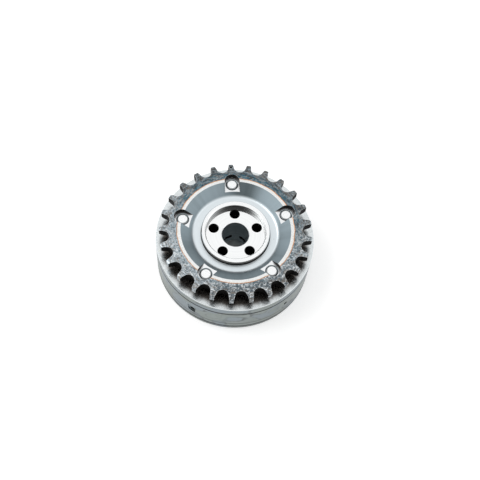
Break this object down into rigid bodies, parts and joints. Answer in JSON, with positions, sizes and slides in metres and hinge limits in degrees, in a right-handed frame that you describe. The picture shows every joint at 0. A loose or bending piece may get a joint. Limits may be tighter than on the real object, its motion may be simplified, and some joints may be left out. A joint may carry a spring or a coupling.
{
  "type": "camshaft gear",
  "caption": "Chain sprocket for an engine camshaft with a vane-type oil adjuster inside: housing, rotor on the cam side, tip seals, lock pin and assembly screws.",
  "frame": {"origin": "on the axis, at the front cover's outer face, which the part rests on", "axes": "+Z along the axis from the front cover to the camshaft side; the marked tooth and the first assembly screw point along +Y"},
  "size_m": [0.084, 0.084, 0.0335],
  "materials": {
    "sintered_steel": "sintered and hardened, mottled grey with heat tints, machined dish",
    "housing_steel": "smooth ground grey with faint oil stains",
    "turned_steel": "bright turned",
    "screw_steel": "plain bright ends",
    "seal_polymer": "moulded, matt brown",
    "spring_steel": "plain spring steel",
    "hardened_steel": "ground and hardened"
  },
  "bodies": {
    "housing": {"sprocket_plate": "sintered_steel", "stator": "housing_steel", "front_cover": "housing_steel", "lock_bush": "hardened_steel", "assembly_screw_1": "screw_steel", "assembly_screw_2": "screw_steel", "assembly_screw_3": "screw_steel", "assembly_screw_4": "screw_steel", "assembly_screw_5": "screw_steel", "lobe_seal_1": "seal_polymer", "lobe_seal_2": "seal_polymer", "lobe_seal_3": "seal_polymer", "lobe_seal_4": "seal_polymer", "lobe_seal_5": "seal_polymer", "lobe_seal_spring_1": "spring_steel", "lobe_seal_spring_2": "spring_steel", "lobe_seal_spring_3": "spring_steel", "lobe_seal_spring_4": "spring_steel", "lobe_seal_spring_5": "spring_steel"},
    "rotor": {"rotor": "turned_steel", "lock_plug": "hardened_steel", "lock_spring": "spring_steel", "vane_seal_1": "seal_polymer", "vane_seal_2": "seal_polymer", "vane_seal_3": "seal_polymer", "vane_seal_4": "seal_polymer", "vane_seal_5": "seal_polymer", "vane_seal_spring_1": "spring_steel", "vane_seal_spring_2": "spring_steel", "vane_seal_spring_3": "spring_steel", "vane_seal_spring_4": "spring_steel", "vane_seal_spring_5": "spring_steel"},
    "lock_pin": {"lock_pin": "hardened_steel"}
  },
  "joints": [
    {"name": "cam_phase", "type": "hinge", "parent": "housing", "child": "rotor", "pos_m": [0, 0, 0.013], "axis": [0, 0, 1], "range_deg": [0, 20.2]},
    {"name": "lock_pin_slide", "type": "slide", "parent": "rotor", "child": "lock_pin", "axis": [0, 0, -1], "range_m": [0, 0.001], "stiffness_N_per_m": 400, "springref_m": -0.004, "deforming": ["lock_spring"]}
  ]
}
